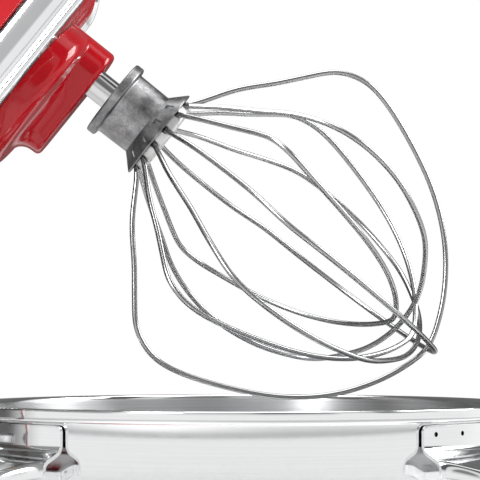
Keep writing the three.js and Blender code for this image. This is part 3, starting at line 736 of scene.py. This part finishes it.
# ---- planetary, shaft and whisk -----------------------------------------------------------------
def planetary_field(x, y, z):
    """Distance field of the cast planetary: drum above, oblong boss round the shaft below."""
    tail_x = OFFSET - PLANET["tail"]
    width = PLANET["half"] + (PLANET["boss"] - PLANET["half"]) * (x - tail_x) / PLANET["tail"]
    side = np.abs(y) - width
    tail = round_meet(tail_x - x, side, PLANET["tail_edge"])
    nose = np.sqrt((x - OFFSET) ** 2 + y ** 2) - PLANET["boss"]
    boss = round_meet(np.where(x > OFFSET, nose, tail), -z, PLANET["boss_edge"])
    reach = np.sqrt(x * x + y * y)
    floor = PLANET["low"] + PLANET["rise"] * np.maximum(reach - 12, 0)
    drum = round_meet(reach - PLANET["radius"], floor - z, PLANET["edge"])
    nearness = np.clip((x - 6) / 16, 0, 1)
    shrink = PLANET["fillet"] - PLANET["nose_fillet"]
    fillet = PLANET["fillet"] - shrink * nearness * nearness * (3 - 2 * nearness)
    both = blend_union(boss, drum, fillet)
    hole = SHAFT_RADIUS + 0.3 - np.sqrt((x - OFFSET) ** 2 + y ** 2)
    return np.maximum(round_meet(both, hole, PLANET["bore_edge"]), z - PLANET["high"])


def planetary():
    r = PLANET["radius"] + 3
    far_corner = (OFFSET + PLANET["boss"] + 3, r, PLANET["high"] + 3)
    return surface_net(planetary_field, (-r, -r, -2.5), far_corner, 0.7)


def beater_shaft():
    r = SHAFT_RADIUS
    return lathe(rounded([(0, -31), (r - 1, -31), (r, -30), (r, 37), (0, 37)], 0.5, 3), 96)


def whisk_hub():
    """Cast hub: drive flange, short body and flared skirt."""
    top, flange, body, lip = HUB["top"], HUB["flange"], HUB["body"], HUB["lip"]
    r = HUB_R
    flare = [(r["body"] + (r["lip"] - r["body"]) * t, -body - (lip - 0.7 - body) * t)
             for t in np.linspace(0, 1, 34)]
    upper = rounded([(r["pocket"], -flange - 0.6), (r["bore"], -flange - 0.6), (r["bore"], -top),
                     (r["flange"] - 0.5, -top), (r["flange"], -top - 0.6),
                     (r["flange"], -flange + 0.6), (r["flange"] - 0.6, -flange),
                     (r["body"] + 0.2, -flange, 1.4), flare[0]], 0.5, 5)
    lower = rounded([flare[-1], (r["lip"], -lip), (r["plug"] + 0.5, -lip),
                     (r["pocket"] + 5, -lip + 4), (r["pocket"], -lip + 4)], 0.25, 3)
    profile = [*upper, *flare[1:-1], *lower]
    return lathe(profile, 256, closed=True)


def hub_dents():
    """Bars that press an oblong dent into the skirt between each two wires."""
    bars = []
    for k in range(12):
        angle = radians(LOOPS[0][0] + 15 + 30 * k)
        points = []
        for share in DENT["shares"]:
            reach = HUB_R["body"] + (HUB_R["lip"] - HUB_R["body"]) * share + DENT["proud"]
            depth = HUB["body"] + (HUB["lip"] - HUB["body"]) * share
            points.append((reach * cos(angle), reach * sin(angle), -depth))
        bars.append(sweep(points, DENT["radius"], 20))
    return bars


def whisk_plug():
    r, lip, end = HUB_R["plug"], HUB["lip"], HUB["plug"]
    section = [(0, -lip + 4.6), (r - 1.8, -lip + 4.6), (r, -lip - 0.2), (r, -end + 0.7),
               (r - 0.8, -end), (0, -end)]
    return lathe(rounded(section, 0.5, 4), 192)


def wire_point(loop, depth, reach, share):
    """A point of a loop from its depth, its reach to one side and its share of the length."""
    roll, turn, _, _, _, lean = loop
    angle = radians(roll + turn * min(1, share * WIRE_TURN))
    return (reach * cos(angle) + lean * sin(pi * share), -reach * sin(angle), -depth)


def wire_path(loop, count):
    """A loop from the hub round its tip and back, in the whisk's frame."""
    _, _, half, tip, form, _ = loop
    start = HUB["lip"] + WIRE_START
    length = tip - start
    side = [(start - WIRE_BURIED, WIRE_ROOT, 0.0)]
    for share, width in form:
        reach = WIRE_RING if share == 0 else max(WIRE_RING * (1 - share), width * half)
        side.append((start + share * length, reach, share))
    down = [wire_point(loop, depth, reach, share) for depth, reach, share in side]
    up = [wire_point(loop, depth, -reach, share) for depth, reach, share in reversed(side)]
    return relaxed(flowing([*down, wire_point(loop, tip, 0, 1), *up], count))


def relaxed(path, rounds=24):
    """Evens out the bends of a path without moving its ends."""
    path = path.copy()
    for _ in range(rounds):
        path[1:-1] += 0.5 * ((path[:-2] + path[2:]) / 2 - path[1:-1])
    return path


def wire_holes(radius):
    """Short bars along each wire's first stretch, used to cut its hole."""
    bars = []
    for loop in LOOPS:
        for sign in (1, -1):
            a = Vector(wire_point(loop, HUB["lip"] - 3.6, sign * 14.2, 0))
            b = Vector(wire_point(loop, HUB["lip"] + 3.6, sign * 20.2, 0))
            bars.append(sweep([a + (b - a) * t for t in (0, 0.5, 1)], radius, 20))
    return bars


# ---- bowl ---------------------------------------------------------------------------------------
def bowl_outside():
    """Spun wall from the base up to the rolled bead, as (radius, height)."""
    wall = flowing([(42, 40), (68.6, 42.2), (84.9, 49.9), (97.2, 64.4), (106.4, 84.7),
                    (111.9, 114.8), (115.4, 149.9), (117.2, 190), (117.7, 229.5)], 60)
    bead = rounded([(117.8, 229.5), (117.9, 232.8, 0.6), (121.75, 232.8, 0.9), (121.9, 235.3, 2.2),
                    (121.7, RIM, 0.9), (117.6, RIM, 1.3), (116.5, 236.2, 1.0), (116.3, 231)],
                   1.5, 8)
    return [(0, 40), *map(tuple, wall), *bead[1:-1]]


def bowl_inside():
    """The wall's inner face from the bead down to the floor."""
    wall = flowing([(116.3, 231), (115.9, 190), (114.0, 150), (110.5, 115), (105, 85), (95.8, 65),
                    (83.6, 51), (67.6, 43.6), (42, 41.2)], 60)
    return [*map(tuple, wall), (0, 41.2)]


def bowl():
    """The whole bowl, polished outside and on its bead, brushed inside."""
    skin = lathe([*bowl_outside(), *bowl_inside()], 256)
    made = piece("bowl_shell", skin, STAND, FINISH["bowl_steel"], "bowl", 60)
    made.data.materials.append(BRUSHED)
    centre = STAND.translation
    for face in made.data.polygons:
        away = Vector((face.center.x - centre.x, face.center.y, 0))
        inward = face.normal.dot(away) < 0 and face.center.z < BRUSHED_TOP * MM
        floor = face.normal.z > 0.7 and face.center.z < 100 * MM
        face.material_index = 1 if inward or floor else 0


def ear_reach(angle):
    """How far the grip stands out: full round the front, drawn in towards the two ends."""
    end = smoothstep(abs(degrees(angle)), EAR["narrows"], EAR["span"])
    return EAR["reach"] - EAR["drawn_in"] * end


def ear_row(angle, side):
    """One section of the folded sheet: flange on the wall, fold, sloping grip, lip turned down."""
    wall, fold, round_off = EAR["wall"], EAR["fold"], EAR["corner"]
    corner = max(0.0, round_off - (radians(EAR["span"]) - abs(angle)) * wall)
    top = EAR["top"] - (round_off - sqrt(max(0.0, round_off ** 2 - corner ** 2)))
    reach = ear_reach(angle)
    fall = EAR["fall"] * reach
    section = [(wall, top), (wall, 227), (wall, fold, 3.0), (wall + reach, fold - fall, 2.2),
               (wall + reach + 0.6, fold - fall - EAR["lip"])]
    turn = angle + radians(BOWL_TURN)
    return [(side * r * cos(turn), side * r * sin(turn), z)
            for r, z in rounded(section, 1.0, 8)]


def bowl_ear(name, side, node):
    """Sheet ear as a grid of sections; modifiers give it its thickness and soft edges."""
    span = radians(EAR["span"])
    ease = [sin(pi / 2 * t) for t in np.linspace(-1, 1, 121)]
    rows = [ear_row(span * t, side) for t in ease]
    n = len(rows[0])
    verts = [point for row in rows for point in row]
    faces = [(k * n + i, k * n + i + 1, (k + 1) * n + i + 1, (k + 1) * n + i)
             for k in range(len(rows) - 1) for i in range(n - 1)]
    made = piece(name, (verts, faces), STAND, FINISH["bowl_steel"], node, 60)
    thick = made.modifiers.new("sheet", "SOLIDIFY")
    thick.thickness = EAR["sheet"] * MM
    thick.offset = 0
    thick.use_even_offset = True
    soft = made.modifiers.new("edges", "BEVEL")
    soft.width = 0.45 * MM
    soft.segments = 3
    soft.angle_limit = radians(50)
    settle(made)
    if side > 0:
        cut_holes(made, weld_holes(side), STAND)
    # Faces that look downwards take the darker steel: painted shade under the grip, not a different finish of the
    # sheet.
    made.data.materials.append(UNDERSIDE_SHADE_STEEL)
    for face in made.data.polygons:
        if face.normal.z < -0.3:
            face.material_index = 1


def weld_holes(side):
    """Bars that cut the two small plug-weld holes near each end of an ear."""
    bars = []
    for angle in WELDS["angles"]:
        turn = radians(angle + BOWL_TURN)
        points = [(side * r * cos(turn), side * r * sin(turn), WELDS["height"])
                  for r in (118, 119.5, 121)]
        bars.append(sweep(points, WELDS["radius"], 20))
    return bars


def bowl_foot():
    section = [(48, 39.7), (44.4, 39.7), (44.4, 38), (50, 36), (50, 33.4), (54, 33.4), (54, 36),
               (48.6, 38.6)]
    return lathe(rounded(section, 0.8, 4, True), 160, closed=True)


# ---- base and column ----------------------------------------------------------------------------
def base_loft(levels):
    """The base's plan at several (inset, height) levels."""
    return loft([outline(102 - inset, -236 + inset, 100 - inset, z, nose=105, tail=75, power=2.3,
                         count=200) for inset, z in levels])


def base_casting():
    return base_loft([(60, 10), (22, 10), (9.5, 8.5), (9, 4.6), (2.4, 4.5), (0.8, 5.2), (0.1, 7),
                      (0, 10), (0, 17), (0.5, 21), (1.8, 24.5), (4.2, 27.4), (7.5, 29.2),
                      (12, 29.9), (20, 30), (60, 30)])


def base_cover():
    return base_loft([(60, 4.5), (12, 4.5), (9.8, 5), (9.6, 6.4), (60, 6.4)])


def column_field(x, y, z):
    """Cast column: oblong plan that flares into the base, two hinge ears, a slot for the neck."""
    c = COLUMN
    share = np.clip(1 - (z - c["flare_foot"]) / c["flare_height"], 0, 1)
    flare = c["flare"] * share ** c["flare_power"]
    half = c["half"] + flare
    front, rear = c["front"] + 0.45 * flare, c["rear"] - 0.1 * flare
    middle, reach = (front + rear) / 2, (front - rear) / 2
    u, v = np.abs(x - middle) / reach, np.abs(y) / half
    plan = ((u ** c["power"] + v ** c["power"]) ** (1 / c["power"]) - 1) * reach
    body = np.maximum(np.maximum(plan, c["low"] - z), z - (HINGE_Z + 6))
    slope = radians(c["slope"])
    top = (x - (HINGE_X - 4)) * -sin(slope) + (z - (HINGE_Z + 12)) * cos(slope)
    body = round_meet(body, top, 4.0)
    from_pin = np.sqrt((x - HINGE_X) ** 2 + (z - HINGE_Z) ** 2)
    ear = round_meet(from_pin - c["ear"], np.abs(y) - c["ear_half"], 3.0)
    whole = blend_union(body, ear, 6.0)
    slot = np.maximum(np.abs(y) - c["slot_half"], c["slot_floor"] - z)
    return np.maximum(round_meet(whole, -slot, 1.5), c["low"] - z)


def foot():
    return lathe(rounded([(0, 0), (11, 0), (12.5, 1.4), (11.5, 4.2), (0, 4.2)], 0.9, 5), 64)


def lock_lever():
    boss = lathe(rounded([(0, 47.6), (10, 47.6), (10, 55), (8.8, 56.2), (0, 56.2)], 1.2, 5), 96)
    blade = rounded([(-6, 0), (6, 0), (4.2, 34, 4), (-4.2, 34, 4)], 3.5, 8, True)
    return joined(boss, laid_down(slab(blade, 50, 55, 1.2)), stem(34, 48))


# ---- pieces -------------------------------------------------------------------------------------
def build_head():
    red, bright = FINISH["red_enamel"], FINISH["chrome_trim"]
    piece("motor_casing", upper_casing(), HEAD, red, "head_upper_casing")
    piece("casing_pan", joined(lower_casing(), neck_block()), HEAD, red, "head_lower_casing")
    piece("band", trim_band(), HEAD, bright, "trim_band", 70)
    socket = HEAD @ Matrix.Translation((0, 0, HUB_Z)) @ ALONG_X
    piece("nose_ring", hub_socket(), socket, bright, "hub_socket")
    piece("nose_cap", hub_cap(), socket, bright, "hub_cap")
    knob = HEAD @ Matrix.Translation((KNOB[0], 0, KNOB[1])) @ ALONG_Y
    piece("nose_knob", hub_knob(), knob, FINISH["black_plastic"], "hub_knob")
    dial = (HEAD @ Matrix.Translation((DIAL[0], 0, DIAL[1])) @ Matrix.Rotation(pi, 4, "Z")
            @ ALONG_Y)
    piece("dial_knob", speed_knob(), dial, FINISH["black_plastic"], "speed_knob")
    piece("dial_plate", speed_plate(), dial, bright, "speed_plate")
    piece("planetary", planetary(), HEAD, red, "planetary_body", 50)


def build_whisk():
    piece("shaft", beater_shaft(), WHISK, GROUND, "beater_shaft")
    hub = piece("whisk_head", whisk_hub(), WHISK, FINISH["cast_alloy"], "whisk_hub", 50)
    plug = piece("whisk_face", whisk_plug(), WHISK, FINISH["light_alloy"], "whisk_plug")
    holes = wire_holes(WIRE_RADIUS + WIRE_SLACK)
    cut_holes(hub, [*holes, *hub_dents()], WHISK)
    cut_holes(plug, holes, WHISK)
    for i, loop in enumerate(LOOPS):
        wire = sweep(wire_path(loop, 420), WIRE_RADIUS, 18)
        piece(f"wire_{i + 1}", wire, WHISK, FINISH["bright_steel"], f"whisk_wire_{i + 1}", 60)


def build_bowl():
    bowl()
    bowl_ear("ear_front", 1, "bowl_ear_front")
    bowl_ear("ear_rear", -1, "bowl_ear_rear")
    piece("bowl_ring", bowl_foot(), STAND, FINISH["bowl_steel"], "bowl_foot")


def build_stand():
    red = FINISH["red_enamel"]
    piece("base", base_casting(), STAND, red, "base_casting", 60)
    piece("base_plate", base_cover(), STAND, FINISH["black_plastic"], "base_cover")
    column = surface_net(column_field, (-222, -64, 26), (-134, 64, HINGE_Z + 26), 1.5)
    piece("column", column, STAND, red, "column_casting", 50)
    for i, (x, y) in enumerate(FEET):
        piece(f"rubber_foot_{i + 1}", foot(), STAND @ Matrix.Translation((x, y, 0)),
              FINISH["rubber_feet"], f"foot_{i + 1}")
    lever = (STAND @ Matrix.Translation((LEVER["x"], 0, LEVER["z"]))
             @ Matrix.Rotation(radians(LEVER["turn"]), 4, "Y") @ ALONG_Y)
    piece("head_lock", lock_lever(), lever, FINISH["chrome_trim"], "lock_lever")


def finish_cad_nodes():
    """Nodes that keep their CAD shape get softened edges and their finish."""
    for name, node in frame["nodes"].items():
        if node.hide_render:
            continue
        soft = node.modifiers.new("edges", "BEVEL")
        soft.width = 0.3 * MM
        soft.segments = 2
        soft.angle_limit = radians(50)
        node.data.materials.clear()
        node.data.materials.append(FINISH[SLOT_OF[name]])


# ---- studio -------------------------------------------------------------------------------------
def camera():
    """The photograph's viewpoint, at a distance from the bowl's axis and a little over its rim."""
    azimuth, pitch = radians(CAMERA["azimuth"]), radians(CAMERA["pitch"])
    distance = CAMERA["distance"]
    data = bpy.data.cameras.new("view")
    data.sensor_width = 36
    data.lens = CAMERA["lens"]
    made = placed("view", data)
    made.location = STAND @ Vector((-distance * sin(azimuth), -distance * cos(azimuth),
                                    RIM + CAMERA["over_rim"]))
    made.rotation_euler = (pi / 2 + pitch, 0, -azimuth)
    SCENE.camera = made


def floor():
    """Round worktop with a faint unevenness of tone."""
    radius, sides = FLOOR["radius"], FLOOR["sides"]
    turns = [2 * pi * i / sides for i in range(sides)]
    mesh = bpy.data.meshes.new("floor")
    mesh.from_pydata([(radius * cos(a), radius * sin(a), FLOOR["level"]) for a in turns], [],
                     [tuple(range(sides))])
    n = Nodes("floor")
    n.join(n.ramp(n.noise(0.004, 2), [(0.3, 0.74), (0.7, 0.77)]), "Base Color")
    n.set(Roughness=0.7, Specular_IOR_Level=0.2)
    mesh.materials.append(n.material)
    made = placed("floor", mesh)


def soft_light(name, place, target, size, power):
    """Rectangular lamp aimed at a point, hidden from the camera."""
    data = bpy.data.lights.new(name, "AREA")
    data.shape = "RECTANGLE"
    data.size, data.size_y = size
    data.energy = power
    made = placed(name, data)
    made.location = place
    made.rotation_euler = (Vector(target) - Vector(place)).to_track_quat("-Z", "Y").to_euler()
    made.visible_camera = False


# Brightness of the room by compass bearing from the camera's side, in degrees, right positive.
ROOM = [(-180, 0.16), (-114, 0.12), (-100, 0.3), (-60, 0.36), (-54, 1.0), (-37, 1.0), (-30, 0.6),
        (-3, 0.5), (5, 0.2), (31, 0.24), (36, 0.75), (49, 0.75), (54, 0.1), (83, 0.1), (90, 1.0),
        (112, 1.0), (120, 0.14), (180, 0.16)]


def room_light(n, parts):
    """Dark room with upright soft panels at several bearings."""
    towards_camera = n.maths("MULTIPLY", parts.outputs["Y"], -1)
    angle = n.maths("ARCTAN2", parts.outputs["X"], towards_camera)
    share = n.add("ShaderNodeMapRange", Value=angle, From_Min=-pi, From_Max=pi)
    return n.ramp(share.outputs[0], [((bearing + 180) / 360, value) for bearing, value in ROOM])


def studio():
    """White to the camera; to all else a dark room with a pale horizon and upright panels."""
    world = bpy.data.worlds.new("studio")
    world.use_nodes = True
    SCENE.world = world
    n = WorldNodes(world)
    direction = n.add("ShaderNodeTexCoord").outputs["Generated"]
    parts = n.add("ShaderNodeSeparateXYZ", Vector=direction)
    room = room_light(n, parts)
    height = n.ramp(parts.outputs["Z"], [(0.09, 1.0), (0.22, 0.0)])
    front = n.add("ShaderNodeMapRange", Value=parts.outputs["Y"], From_Min=0.35, From_Max=0.05)
    horizon = n.maths("MULTIPLY", height, front.outputs[0])
    lit = n.mix(horizon, room, (0.9, 0.9, 0.9))
    seen = n.add("ShaderNodeLightPath").outputs["Is Camera Ray"]
    n.feed(n.tree.nodes["Background"].inputs["Color"], n.mix(seen, lit, (1, 1, 1)))
    for name, lamp in LAMPS.items():
        soft_light(name, *lamp)
    SCENE.view_settings.view_transform = "Standard"


camera()
floor()
studio()
build_head()
build_whisk()
build_bowl()
build_stand()
finish_cad_nodes()
